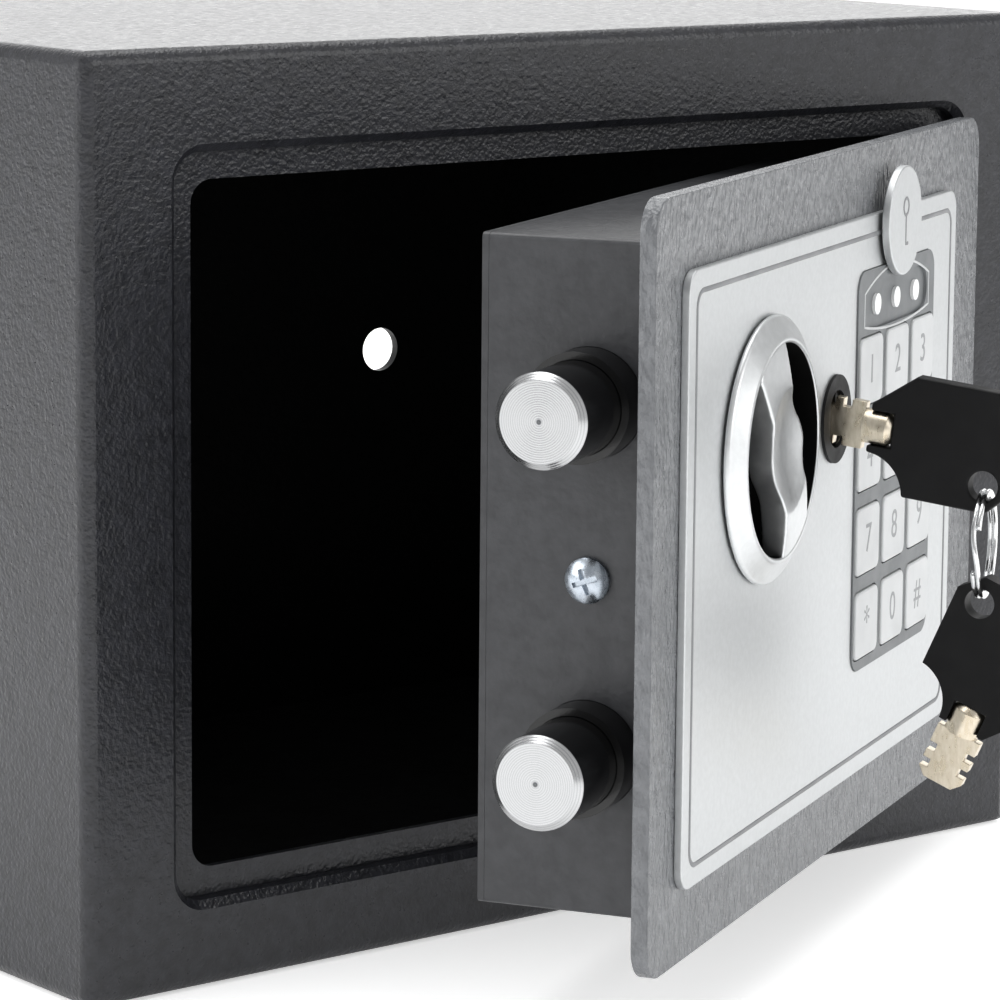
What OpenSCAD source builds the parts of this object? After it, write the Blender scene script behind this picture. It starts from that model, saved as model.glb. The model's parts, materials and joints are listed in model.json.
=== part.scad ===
// A small electronic safe deposit box. The door stands ajar, its bolts are thrown
// and the override key is in its lock. Millimetres, +Z up, the door faces -Y, and
// the origin is the middle of the underside.

/* [Body] */
// Width of the body
body_w = 230; // [215:1:300]
// Depth of the body, front to back
body_d = 170; // [150:1:300]
// Height of the body
body_h = 170; // [165:1:260]
// Thickness of the body sheet
sheet = 2; // [1.5:0.1:2.4]
// Radius of the folded edges
edge_r = 2.5; // [1:0.1:4]
// Thickness of the rear panel
rear_t = 2; // [1.5:0.1:4]
// Thickness of the floor mat
mat_t = 2; // [1:0.1:4]
// Gap between the mat and the walls
mat_gap = 1; // [0.5:0.1:4]

/* [Doorway] */
// Border left of the doorway
border_left = 20; // [18:0.5:26]
// Border at the hinge side
border_hinge = 18; // [18:0.5:24]
// Border over the doorway
border_top = 18.5; // [17:0.5:26]
// Border under the doorway
border_bottom = 16; // [15:0.5:24]
// Corner radius of the doorway
doorway_r = 5.5; // [3:0.1:10]
// Depth of the step that the door plate sinks into
recess_depth = 4; // [3.6:0.1:4.4]
// Thickness of the pressed step and lip
lip_t = 1.5; // [1:0.1:1.8]
// Width of the lip behind the door plate
lip_w = 5.2; // [3:0.1:5.5]
// Bevel on the front edge of the doorway
doorway_bevel = 1.5; // [1.2:0.1:1.8]

/* [Door] */
// Gap between the door plate and the doorway
door_gap = 1.7; // [1.6:0.1:2.2]
// Thickness of the door plate
plate_t = 3; // [2.5:0.1:3.2]
// Corner radius of the door plate
plate_r = 6; // [3:0.1:10]
// How far the door stands open
door_ajar = 29; // [20:1:40]
// How far the door can open
door_open = 90; // [80:1:90]
// Distance from the plate's free edge to the pan
pan_inset = 17.5; // [16:0.5:20]
// Distance from the plate's long edges to the pan
pan_margin = 7.5; // [7:0.5:10]
// How far the pan sits under the middle of the plate
pan_drop = 1.3; // [0:0.1:2]
// Depth of the door from its front face to its inner cover
pan_depth = 38; // [38:0.5:42]
// Thickness of the pan sheet
pan_t = 1.5; // [1:0.1:2]
// Thickness of the inner cover
cover_t = 1.2; // [1:0.1:2]

/* [Hinge] */
// Pivot distance outside the edge of the doorway
pivot_out = 6; // [6:0.1:6.5]
// Pivot depth behind the front face
pivot_back = 6; // [6:0.1:6.5]
// Radius of the hinge pins
pin_r = 1.5; // [1:0.1:1.6]
// Running clearance in the hinge arms
pin_fit = 0.05; // [0.02:0.01:0.1]
// Radius of the eye at the end of a hinge arm
eye_r = 3.2; // [2.6:0.1:3.3]
// Thickness of a hinge arm
arm_t = 3; // [2:0.1:5]
// Width of a hinge arm
arm_w = 5; // [3:0.1:6]
// Distance from the pivot to the arm's inner edge
arm_reach = 13; // [12.6:0.1:14]
// Height of the hinge arms over and under the middle of the door
arm_height = 42; // [34:1:44]

/* [Bolts] */
// Radius of a locking bolt
bolt_r = 8.2; // [6:0.1:8.5]
// Distance between the two bolts
bolt_spacing = 61; // [56:1:66]
// Depth of the bolt axis behind the front face
bolt_depth = 18; // [17:0.5:19]
// How far a thrown bolt stands out of the pan
bolt_throw = 23.5; // [20:0.5:24]
// Bevel on the tip of a bolt
bolt_bevel = 1.2; // [0.5:0.1:2]
// How far the knob draws the bolts back
bolt_travel = 15.4; // [14:0.1:15.4]
// Running clearance of a bolt in its guide
bolt_fit = 0.1; // [0.05:0.01:0.1]
// Wall of a bolt guide
guide_t = 1.3; // [1:0.1:2]
// How far a guide stands out of the pan
guide_out = 7; // [3:0.5:7]
// Radius of the riveted neck of a bolt
neck_r = 4; // [3:0.1:5]

/* [Knob] */
// Knob centre from the plate's free edge
knob_from_edge = 52.8; // [50:0.1:54]
// Height of the knob and keyhole over the plate's lower edge
control_height = 83.5; // [78:0.5:88]
// Radius of the knob
knob_r = 23.8; // [20:0.1:24]
// Width of the knob's sloping rim
rim_w = 4.8; // [4:0.1:6]
// Height of the knob's edge over the control panel
knob_edge = 1.2; // [0.8:0.1:2]
// Rise of the sloping rim
rim_rise = 2; // [1:0.1:3]
// Height of the grip over the rim
grip_rise = 1.3; // [0.5:0.1:2]
// Depth of the finger hollow under the door's front face
hollow_depth = 1.6; // [1:0.1:2]
// Radius of the crank pin's circle
crank_r = 12; // [12:0.1:12.5]
// Turn of the knob
knob_turn = 80; // [60:1:80]
// Radius of the knob shaft
shaft_r = 4; // [3:0.1:5]
// Radius of the crank pin
crank_pin_r = 2; // [1.5:0.1:2.2]
// Play of the crank pin in its slot
slot_play = 0.5; // [0.4:0.1:0.8]

/* [Control panel] */
// Distance from the plate's free edge to the control panel
panel_free = 12.3; // [11:0.1:14]
// Distance from the plate's hinge edge to the control panel
panel_hinge = 20.5; // [18:0.5:24]
// Distance from the plate's long edges to the control panel
panel_margin = 13; // [12:0.5:15]
// Thickness of the control panel
panel_t = 1.5; // [1:0.1:2]
// Corner radius of the control panel
panel_r = 4; // [2:0.1:6]
// Play around moving and inset pieces
play = 0.3; // [0.2:0.05:0.4]

/* [Keypad] */
// Keypad centre from the plate's hinge edge
pad_from_hinge = 60.2; // [58:0.1:61]
// Height of the keypad centre over the plate's lower edge
pad_height = 71; // [68:0.5:72]
// Width of the keypad
pad_w = 48.5; // [48:0.5:52]
// Height of the keypad
pad_h = 76; // [75:0.5:80]
// Thickness of the keypad bezel
pad_t = 1.8; // [1.6:0.1:2.4]
// Spacing of the buttons across
button_pitch_x = 16.4; // [15:0.1:17]
// Spacing of the buttons down
button_pitch_z = 16.1; // [15:0.1:17]
// Width of a button
button_w = 14; // [11:0.1:14.4]
// Height of a button
button_h = 12.8; // [11:0.1:13]
// Travel of a button
button_travel = 0.6; // [0.3:0.1:0.6]
// Thickness of a button
button_t = 1.5; // [1.2:0.1:1.5]
// How far a button stands out of the bezel
button_out = 0.4; // [0.4:0.1:1]
// Distance from the keypad's top to the middle of the first row
first_row_drop = 19; // [18.8:0.1:20]
// Distance from the keypad's top to the indicator lights
led_drop = 7; // [6.4:0.1:7]
// Spacing of the indicator lights
led_pitch = 12.2; // [11:0.1:13]

/* [Lock] */
// Keyhole distance from the keypad's centre
lock_from_pad = 36.6; // [35:0.1:38]
// How far the keyhole lies under the knob's centre
lock_drop = 0; // [0:0.1:2]
// Radius of the lock cylinder
lock_r = 7.2; // [6:0.1:8]
// Radius of the turning plug
plug_r = 6; // [5.8:0.1:6.2]
// Running clearance of the plug
plug_fit = 0.05; // [0.02:0.01:0.1]
// Length of the lock behind the door's front face
lock_length = 24; // [20:0.5:26]
// Width of the key's blade
blade_w = 8.8; // [7.5:0.1:9]
// Thickness of the key's blade
blade_t = 2.2; // [1.5:0.1:2.5]
// Length of the key's blade
blade_length = 10.5; // [9.5:0.5:12]
// Length of the blade that stands out of the lock
blade_bare = 6; // [5:0.5:7]
// How far the key sags in its keyway, in degrees
key_sag = 7; // [0:1:7]
// Radius of the key's collar
collar_r = 3.2; // [2.4:0.1:3.6]
// Length of the key's collar
collar_length = 5.6; // [4:0.1:7]
// Width of the key's handle
bow_w = 22.5; // [20:0.5:25]
// Length of the key's handle
bow_length = 29; // [27:0.5:34]
// Thickness of the key's handle
bow_t = 4; // [3:0.1:4.5]
// Distance of the ring hole from the key's axis
bow_hole_side = 6.7; // [5.6:0.1:7.2]
// Distance of the ring hole from the end of the handle
bow_hole_end = 5; // [4.4:0.1:7]
// Middle radius of the key ring
ring_r = 9.3; // [8.8:0.1:14]
// Radius of the ring wire
wire_r = 0.8; // [0.6:0.1:0.9]
// Radius of the ring hole in a key's handle
bow_hole_r = 2.8; // [2.7:0.1:3.2]
// Radius of the keyhole cap
cap_r = 10.4; // [9:0.1:12]
// Distance of the parked keyhole cap from the keypad's centre, to the left
cap_left = 1.6; // [0:0.1:4]
// Height of the parked keyhole cap over the knob's centre
cap_over = 33.4; // [32:0.1:34]
// Thickness of the keyhole cap
cap_t = 1.6; // [1:0.1:3]

/* [Electrics] */
// Length of a battery cell
cell_length = 50.5; // [49:0.5:51]
// Radius of a battery cell
cell_r = 7.1; // [6.5:0.1:7.2]
// Wall of the battery tray
tray_t = 1.5; // [1:0.1:2]
// Travel of the solenoid plunger
plunger_travel = 6; // [4:0.5:6]
// Radius of the solenoid plunger
plunger_r = 3; // [2.5:0.1:3.2]
// Travel of the reset button
reset_travel = 0.8; // [0.5:0.1:1]
// Radius of the reset button
reset_r = 3.5; // [2.5:0.1:5]

/* [Mounting] */
// Radius of the two fixing holes in the rear panel
fix_r = 5; // [3:0.1:6]
// Distance between the two fixing holes
fix_spacing = 153; // [120:1:170]
// Height of the fixing holes over the underside
fix_height = 84.5; // [60:0.5:110]

/* [Hidden] */
$fn = 48;
fine = 32;
eps = 0.01;

front_y = -body_d / 2;
door_left = -body_w / 2 + border_left;
door_right = body_w / 2 - border_hinge;
doorway_w = door_right - door_left;
doorway_h = body_h - border_top - border_bottom;
doorway_x = (door_left + door_right) / 2;
doorway_z = border_bottom + doorway_h / 2;
lip_back = recess_depth + lip_t;
cavity_w = body_w - 2 * sheet;
cavity_h = body_h - 2 * sheet;

plate_w = doorway_w - 2 * door_gap;
plate_h = doorway_h - 2 * door_gap;
plate_left = door_left + door_gap;
plate_right = door_right - door_gap;
plate_bottom = doorway_z - plate_h / 2;
pan_left = plate_left + pan_inset;
pan_right = plate_right - pan_inset;
pan_w = pan_right - pan_left;
pan_h = plate_h - 2 * pan_margin;
pan_z = doorway_z - pan_drop;
pan_x = (pan_left + pan_right) / 2;
cover_back = pan_depth - cover_t;

pivot_x = door_right + pivot_out;
pivot_y = front_y + pivot_back;
pin_length = 12;
bracket_t = 2;
bracket_tail = 8;
pin_offset = 1;
arm_inset = 0.6;
wire_hole_r = 4;
pan_r = 1;
cover_screw_side = 7;
cover_screw_end = 5;
cover_screw_low_r = 3;
cover_screw_top_r = 2.2;
cover_screw_t = 1.2;

control_z = plate_bottom + control_height;
knob_x = plate_left + knob_from_edge;
pad_x = plate_right - pad_from_hinge;
lock_x = pad_x - lock_from_pad;
lock_z = control_z - lock_drop;
pad_z = plate_bottom + pad_height;
knob_back = panel_t + play;
hollow_r = knob_r - rim_w + 1;
hollow_floor_t = 1;
rim_top = knob_back + knob_edge + rim_rise;
grip_top = rim_top + grip_rise;
bush_flange_t = 2;
bush_lap = 2;
bush_wall = 2;
bush_length = 4;
crank_t = 3;
crank_depth = 17;
crank_slope = knob_turn / 2;

bolt_tip_x = pan_left - bolt_throw;
flange_t = 2;
flange_back = 5;
flange_x = pan_left + flange_back;
rivet_head = 1.5;
plunger_gap = 2;
carriage_t = 2;
carriage_depth = 27;
carriage_w = 31;
carriage_foot = 28;
carriage_head = 14;
carriage_edge = 8;
carriage_lip = 1;
rivet_lap = 1.5;
guide_in = 2;
pin_rest_x = knob_x - crank_r * sin(crank_slope);
pin_low_z = control_z - crank_r;
pin_high_z = control_z - crank_r * cos(crank_slope);
plunger_x = flange_x + flange_t + carriage_w + plunger_r + plunger_gap;
carriage_low = pin_low_z - carriage_foot;
carriage_high = pin_high_z + carriage_head;

panel_w = plate_w - panel_free - panel_hinge;
panel_h = plate_h - 2 * panel_margin;
panel_x = plate_left + panel_free + panel_w / 2;
button_top = pad_t + button_out;
first_row_z = pad_z + pad_h / 2 - first_row_drop;
led_z = pad_z + pad_h / 2 - led_drop;
led_slot_h = 9;
led_slot_depth = 0.6;
led_r = 2;

bezel_t = 0.6;
slot_w = blade_t + play;
slot_h = blade_w + 2 * (blade_length - blade_bare) * sin(key_sag) + 2 * play;
bezel_r = lock_r + 1;
bezel_hole_r = slot_h / 2 + 0.1;
nut_r = lock_r + 3.4;
nut_t = 3;
cam_t = 2;
cam_w = 6;
cam_length = 14;
bow_low = bow_w / 2 + 0.4;
bow_high = bow_w - bow_low;
scoop_r = 7.8;
scoop_start = 1.2;
bow_slope = 0.4 * bow_w;
bow_cut = 4;
lip_low = collar_r + 1.4;
lip_high = collar_r + 1.3;
hole_s = bow_length - bow_hole_end;
hole_out = panel_t + (blade_bare + hole_s) * cos(key_sag) - bow_hole_side * sin(key_sag);
hole_z = lock_z - bow_hole_side * cos(key_sag) - (blade_bare + hole_s) * sin(key_sag);
ring_yaw = 6;
ring_gap = 0.5;
ring_hang = bow_hole_r - wire_r - ring_gap;
spare_lean = 23.5;
cap_x = pad_x - cap_left;
cap_z = control_z + cap_over;
screw_head_r = 4;
screw_head_t = 2.4;
screw_dome_r = 6;
cross_length = 4.6;
cross_w = 0.9;
cross_turn = 20;
screw_r = 1.8;
screw_length = flange_back - play;

cell_gap = 0.9;
cell_count = 4;
cell_tip = 1;
spring_room = 5;
cell_room = 1;
tray_r = 2;
tray_hollow_r = 1;
lid_t = 1.5;
lid_gap = 0.2;
cell_pitch = 2 * cell_r + cell_gap;
tray_w = cell_count * cell_pitch + 2 * tray_t + 2 * play;
tray_h = cell_length + 2 * tray_t + spring_room;
tray_depth = 2 * cell_r + tray_t + cell_room;
tray_x = lock_x + lock_r + play + tray_w / 2;
tray_drop = 8;
tray_z = pan_z + pan_h / 2 - pan_t - tray_h / 2 - tray_drop;
coil_h = 16;
solenoid_w = 16;
solenoid_z = carriage_low - plunger_travel - coil_h - 2 * bracket_t;
plunger_n = cover_back - solenoid_w / 2;
switch_w = 12;
switch_h = 8;
switch_wall = 2;
switch_r = 1;
reset_gap = 0.2;
plunger_out = 1;
reset_left = 8;
reset_drop = 4.8;
reset_x = lock_x - reset_left;
reset_z = pan_z + pan_h / 2 - pan_t - reset_drop - switch_w / 2;
board_t = 1.6;
board_gap = 0.6;
board_w = 2 * (lock_from_pad - nut_r - play);
board_h = pad_h - 12;
crank_w = 8;
crank_boss_r = shaft_r + 3;

BUTTONS = ["button_1", "button_2", "button_3", "button_4", "button_5", "button_6",
    "button_7", "button_8", "button_9", "button_left", "button_0", "button_right"];

// ---- shared shapes ----
module rounded(w, h, r) {
    translate([-w / 2 + r, -h / 2]) square([w - 2 * r, h]);
    translate([-w / 2, -h / 2 + r]) square([w, h - 2 * r]);
    for (x = [-1, 1], z = [-1, 1])
        translate([x * (w / 2 - r), z * (h / 2 - r)]) circle(r = r);
}

// Local x runs right, local y up and local z out of the front face.
module on_face(x, z, out = 0) {
    translate([x, front_y - out, z]) rotate([90, 0, 0]) children();
}

// What is drawn shut inside this module is swung open about the hinge.
module on_door() {
    translate([pivot_x, pivot_y, 0]) rotate([0, 0, door_ajar])
        translate([-pivot_x, -pivot_y, 0]) children();
}

module slab(w, h, t, r) {
    linear_extrude(t) rounded(w, h, r);
}

module ring(outer, inner, t) {
    difference() {
        cylinder(r = outer, h = t);
        translate([0, 0, -1]) cylinder(r = inner, h = t + 2);
    }
}

// ---- body ----
module folded_block() {
    intersection() {
        translate([0, 0, body_h / 2]) translate([0, body_d / 2, 0]) rotate([90, 0, 0])
            slab(body_w, body_h, body_d, edge_r);
        slab(body_w, body_d, body_h, edge_r);
        translate([-body_w / 2, 0, body_h / 2]) rotate([90, 0, 90])
            slab(body_d, body_h, body_w, edge_r);
    }
}

module doorway_bevel_cut() {
    hull() {
        on_face(doorway_x, doorway_z, eps)
            slab(doorway_w + 2 * doorway_bevel, doorway_h + 2 * doorway_bevel, eps,
                doorway_r + doorway_bevel);
        on_face(doorway_x, doorway_z, -doorway_bevel)
            slab(doorway_w, doorway_h, eps, doorway_r);
    }
}

module body_shell() {
    color("#3a3c40") difference() {
        union() {
            difference() {
                folded_block();
                translate([-cavity_w / 2, front_y + sheet, sheet])
                    cube([cavity_w, body_d, cavity_h]);
            }
            on_face(doorway_x, doorway_z, -lip_back)
                slab(doorway_w + 2 * lip_t, doorway_h + 2 * lip_t, lip_back - eps,
                    doorway_r + lip_t);
        }
        on_face(doorway_x, doorway_z, -recess_depth)
            slab(doorway_w, doorway_h, recess_depth + 1, doorway_r);
        on_face(doorway_x, doorway_z, -lip_back - 1)
            slab(doorway_w - 2 * lip_w, doorway_h - 2 * lip_w, lip_back + 2, doorway_r - 1);
        doorway_bevel_cut();
    }
}

module rear_panel() {
    color("#2c2d30") difference() {
        translate([-cavity_w / 2, body_d / 2 - rear_t, sheet])
            cube([cavity_w, rear_t, cavity_h]);
        for (side = [-1, 1])
            translate([side * fix_spacing / 2, body_d / 2 + 1, fix_height])
                rotate([90, 0, 0]) cylinder(r = fix_r, h = rear_t + 2);
    }
}

module floor_mat() {
    depth = body_d - rear_t - sheet - 2 * mat_gap;
    color("#1b1b1d")
        translate([-cavity_w / 2 + mat_gap, front_y + sheet + mat_gap, sheet])
            cube([cavity_w - 2 * mat_gap, depth, mat_t]);
}

// ---- hinge ----
// A bracket welded to the side wall carries each pin, outside the arm's sweep.
module hinge_bracket(side) {
    low = doorway_z + side * (arm_height + arm_t / 2 + play + bracket_t / 2) - bracket_t / 2;
    color("#3a3c40") translate([0, 0, low]) difference() {
        translate([pivot_x - eye_r, front_y + sheet, 0])
            cube([body_w / 2 - sheet - pivot_x + eye_r, pivot_back - sheet + bracket_tail, bracket_t]);
        translate([pivot_x, pivot_y, -1]) cylinder(r = pin_r, h = bracket_t + 2);
    }
}

module hinge_pins() {
    color("#b8bcc0") for (side = [-1, 1])
        translate([pivot_x, pivot_y, doorway_z + side * (arm_height + pin_offset) - pin_length / 2])
            cylinder(r = pin_r, h = pin_length);
}

// A gooseneck: out of the eye, back behind the lip, and along into the pan.
module hinge_arm(side) {
    reach = pivot_x - pan_right + pan_t;
    color("#2c2d30") on_door()
        translate([pivot_x, pivot_y, doorway_z + side * arm_height - arm_t / 2])
            difference() {
                union() {
                    cylinder(r = eye_r, h = arm_t);
                    translate([arm_inset, 0, 0]) cube([eye_r - arm_inset, arm_reach + arm_w, arm_t]);
                    translate([-reach, arm_reach, 0]) cube([reach + eye_r, arm_w, arm_t]);
                }
                translate([0, 0, -1]) cylinder(r = pin_r + pin_fit, h = arm_t + 2);
            }
}

// ---- door ----
module door_plate() {
    color("#7b7d80") on_door() difference() {
        on_face(doorway_x, doorway_z, -plate_t) slab(plate_w, plate_h, plate_t, plate_r);
        on_face(knob_x, control_z, -plate_t - 1) cylinder(r = hollow_r + play, h = plate_t + 2);
        on_face(lock_x, lock_z, -plate_t - 1) cylinder(r = lock_r, h = plate_t + 2);
        on_face(pad_x, pad_z, -plate_t - 1) cylinder(r = wire_hole_r, h = plate_t + 2);
    }
}

module door_pan() {
    ring_depth = cover_back - plate_t;
    color("#3f4144") on_door() difference() {
        on_face(doorway_x, pan_z, -cover_back) difference() {
            translate([pan_x - doorway_x, 0]) slab(pan_w, pan_h, ring_depth, pan_r);
            translate([pan_x - doorway_x, 0, -1])
                linear_extrude(ring_depth + 2) square([pan_w - 2 * pan_t, pan_h - 2 * pan_t],
                    center = true);
        }
        for (side = [-1, 1])
            translate([pan_left - 1, front_y + bolt_depth, pan_z + side * bolt_spacing / 2])
                rotate([0, 90, 0]) cylinder(r = bolt_r + bolt_fit + guide_t, h = pan_t + 2);
        translate([pan_left - 1, front_y + bolt_depth, pan_z])
            rotate([0, 90, 0]) cylinder(r = screw_r, h = pan_t + 2);
        for (side = [-1, 1])
            translate([pan_right - pan_t - 1, pivot_y + arm_reach,
                doorway_z + side * arm_height - arm_t / 2])
                cube([pan_t + 2, arm_w, arm_t]);
    }
}

module inner_cover() {
    color("#2c2d30") on_door() difference() {
        on_face(pan_x, pan_z, -pan_depth) slab(pan_w, pan_h, cover_t, pan_r);
        on_face(tray_x, tray_z, -pan_depth - 1)
            slab(tray_w - 2 * tray_t, tray_h - 2 * tray_t, cover_t + 2, pan_r);
        on_face(reset_x, reset_z, -pan_depth - 1) cylinder(r = reset_r + plug_fit, h = cover_t + 2);
    }
}

module cover_screws() {
    color("#c8ccd2") on_door() for (x = [-1, 1], z = [-1, 1])
        on_face(pan_x + x * (pan_w / 2 - cover_screw_side),
            pan_z + z * (pan_h / 2 - cover_screw_end), -pan_depth)
            mirror([0, 0, 1])
                cylinder(r1 = cover_screw_low_r, r2 = cover_screw_top_r, h = cover_screw_t);
}

module pan_screw() {
    color("#c8d0dc") on_door()
        translate([pan_left, front_y + bolt_depth, pan_z]) rotate([0, -90, 0]) {
            translate([0, 0, -screw_length]) cylinder(r = screw_r, h = screw_length + eps);
            difference() {
                intersection() {
                    cylinder(r = screw_head_r, h = screw_head_t);
                    translate([0, 0, screw_head_t - screw_dome_r]) sphere(r = screw_dome_r);
                }
                for (turn = [0, 90])
                    translate([0, 0, screw_head_t]) rotate(turn + cross_turn)
                        cube([cross_length, cross_w, screw_head_t], center = true);
            }
        }
}

// ---- control panel and keypad ----
module control_panel() {
    color("#d8d9da") on_door() difference() {
        on_face(panel_x, doorway_z) slab(panel_w, panel_h, panel_t, panel_r);
        on_face(knob_x, control_z, -1) cylinder(r = hollow_r + play, h = panel_t + 2);
        on_face(lock_x, lock_z, -1) cylinder(r = lock_r, h = panel_t + 2);
        on_face(pad_x, pad_z, -1) slab(pad_w, pad_h, panel_t + 2, panel_r);
    }
}

module button_place(index) {
    column = index % 3 - 1;
    row = floor(index / 3);
    translate([column * button_pitch_x, first_row_z - row * button_pitch_z, 0]) children();
}

module keypad_bezel() {
    color("#868a8c") on_door() difference() {
        on_face(pad_x, pad_z) slab(pad_w, pad_h, pad_t, panel_r);
        on_face(pad_x, 0, -1) for (index = [0 : 11])
            button_place(index)
                slab(button_w + 2 * play, button_h + 2 * play, pad_t + 2, 2);
        on_face(pad_x, led_z, pad_t - led_slot_depth)
            slab(3 * led_pitch + led_r, led_slot_h, 1, led_slot_h / 2 - play);
    }
}

module button(index) {
    color("#d4d6d8") on_door() on_face(pad_x, 0, button_top - button_t)
        button_place(index) slab(button_w, button_h, button_t, 1.8);
}

module indicator_lights() {
    color("#f2f4f4") on_door() on_face(pad_x, led_z, pad_t - led_slot_depth)
        for (place = [-1 : 1])
            translate([place * led_pitch, 0, 0]) cylinder(r = led_r, h = led_slot_depth);
}

module circuit_board() {
    color("#2f6b3c") on_door() on_face(pad_x, pad_z, -plate_t - board_gap - board_t)
        slab(board_w, board_h, board_t, 1);
}

// ---- lock and keys ----
module lock_bezel() {
    color("#151516") on_door() on_face(lock_x, lock_z, panel_t)
        ring(bezel_r, bezel_hole_r, bezel_t);
}

module lock_cylinder() {
    color("#b9b4a6") on_door() on_face(lock_x, lock_z, -lock_length)
        ring(lock_r, plug_r + plug_fit, lock_length + panel_t);
}

module lock_nut() {
    color("#c0c4c8") on_door() on_face(lock_x, lock_z, -plate_t - nut_t) difference() {
        cylinder(r = nut_r, h = nut_t, $fn = 6);
        translate([0, 0, -1]) cylinder(r = lock_r, h = nut_t + 2);
    }
}

// The plug ends just behind the bezel, which keeps it in, and its slot runs back
// past the key's tip.
module lock_plug() {
    front = lock_length + panel_t - play;
    color("#c9c2ae") on_door() on_face(lock_x, lock_z, -lock_length) difference() {
        cylinder(r = plug_r, h = front);
        translate([0, 0, front - blade_length]) linear_extrude(blade_length + 1)
            square([slot_w, slot_h], center = true);
    }
}

module lock_cam() {
    color("#c0c4c8") on_door() on_face(lock_x, lock_z, -lock_length - cam_t)
        linear_extrude(cam_t) {
            circle(r = plug_r);
            translate([-cam_w / 2, -cam_length]) square([cam_w, cam_length]);
        }
}

// A key lies along local z, with its blade behind 0, and its collar and handle in front.
module key_metal() {
    notch_h = 1.6;
    notch_w = 1.6;
    notch_pitch = 3.2;
    tip = 1.6;
    translate([0, 0, -blade_length]) difference() {
        rotate([90, 0, 90]) translate([0, 0, -blade_t / 2]) linear_extrude(blade_t) polygon([
            [-blade_w / 2, blade_length], [-blade_w / 2, tip], [tip - blade_w / 2, 0],
            [blade_w / 2 - tip, 0], [blade_w / 2, tip], [blade_w / 2, blade_length]]);
        for (place = [1 : 2], side = [-1, 1])
            translate([0, side * blade_w / 2, place * notch_pitch + side * notch_w / 3])
                cube([blade_t + 1, 2 * notch_h, notch_w], center = true);
    }
    cylinder(r = collar_r, h = collar_length - 1);
    translate([0, 0, collar_length - 1]) cylinder(r1 = collar_r, r2 = collar_r - 1, h = 1);
}

// The handle is scooped on its lower side and sloped on its upper side.
module key_grip() {
    difference() {
        translate([-bow_t / 2, 0, 0]) rotate([90, 0, 90]) linear_extrude(bow_t) difference() {
            polygon([[-bow_low, scoop_start], [lip_high, scoop_start], [bow_high, bow_slope],
                [bow_high, bow_length - bow_cut], [bow_high - bow_cut, bow_length],
                [bow_cut - bow_low, bow_length], [-bow_low, bow_length - bow_cut]]);
            translate([-lip_low - scoop_r, scoop_start]) circle(r = scoop_r);
            translate([-collar_r - eps, -1]) square([2 * (collar_r + eps), collar_length + 1]);
        }
        translate([0, -bow_hole_side, hole_s]) rotate([0, 90, 0])
            cylinder(r = bow_hole_r, h = bow_t + 2, center = true);
    }
}

// The key sags a little about the front of its lock.
module on_key() {
    on_face(lock_x, lock_z, panel_t) rotate([key_sag, 0, 0])
        translate([0, 0, blade_bare]) children();
}

module key_blade() {
    color("#c9bfa8") on_door() on_key() key_metal();
}

module key_handle() {
    color("#141415") on_door() on_key() key_grip();
}

module on_ring_pivot() {
    translate([lock_x, front_y - hole_out, hole_z - ring_hang]) children();
}

module key_ring() {
    color("#c8ccd0") on_door() on_ring_pivot() rotate([0, 0, ring_yaw])
        translate([0, 0, -ring_r]) rotate([90, 0, 0])
            rotate_extrude() translate([ring_r, 0]) circle(r = wire_r, $fn = fine);
}

// The spare hangs by its handle's hole from the lowest point of the ring.
module on_spare() {
    on_ring_pivot() translate([0, 0, -2 * ring_r - ring_hang])
        rotate([spare_lean, 0, 0]) translate([0, -bow_hole_side, -hole_s])
            rotate([0, 0, 180]) children();
}

module spare_key_handle() {
    color("#141415") on_door() on_spare() key_grip();
}

module spare_key_blade() {
    color("#c9bfa8") on_door() on_spare() key_metal();
}

module keyhole_cap() {
    color("#d9dadb") on_door() on_face(cap_x, cap_z, pad_t + play)
        cylinder(r = cap_r, h = cap_t);
}

// ---- knob ----
module knob_base() {
    color("#1a1a1b") on_door() on_face(knob_x, control_z, -hollow_depth - hollow_floor_t)
        cylinder(r = hollow_r, h = hollow_floor_t);
}

// The rim slopes up from the knob's thin edge, and its skirt reaches the hollow's floor.
module knob_rim() {
    inner = knob_r - rim_w;
    color("#cfd1d3") on_door() on_face(knob_x, control_z) rotate_extrude() polygon([
        [inner, -hollow_depth], [hollow_r, -hollow_depth], [hollow_r, knob_back],
        [knob_r, knob_back], [knob_r, knob_back + knob_edge], [inner, rim_top]]);
}

// The grip is an S that looks the same turned half round.
module knob_grip() {
    inner = knob_r - rim_w;
    side = inner * [[-0.72, 0.72], [-0.4, 1.1], [-0.02, 1.02], [0.03, 0.7], [0.09, 0.5],
        [0.21, 0.36], [0.34, 0.24], [0.43, 0.08], [0.43, -0.13], [0.45, -0.26],
        [0.54, -0.42], [0.66, -0.68]];
    color("#cfd1d3") on_door() on_face(knob_x, control_z, -hollow_depth)
        linear_extrude(grip_top + hollow_depth) intersection() {
            circle(r = inner);
            polygon(concat(side, -side));
        }
}

module knob_shaft() {
    color("#b0b4b8") on_door() on_face(knob_x, control_z, -crank_depth)
        cylinder(r = shaft_r, h = crank_depth - hollow_depth - hollow_floor_t);
}

// The bush's flange lies on the back of the door plate and closes the knob's hole.
module knob_bush() {
    color("#1a1a1b") on_door() on_face(knob_x, control_z, -plate_t - bush_flange_t)
        difference() {
            union() {
                cylinder(r = hollow_r + bush_lap, h = bush_flange_t);
                translate([0, 0, -bush_length])
                    cylinder(r = shaft_r + bush_wall, h = bush_length + 1);
            }
            translate([0, 0, -bush_length - 1])
                cylinder(r = shaft_r + plug_fit, h = bush_flange_t + bush_length + 2);
        }
}

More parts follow.
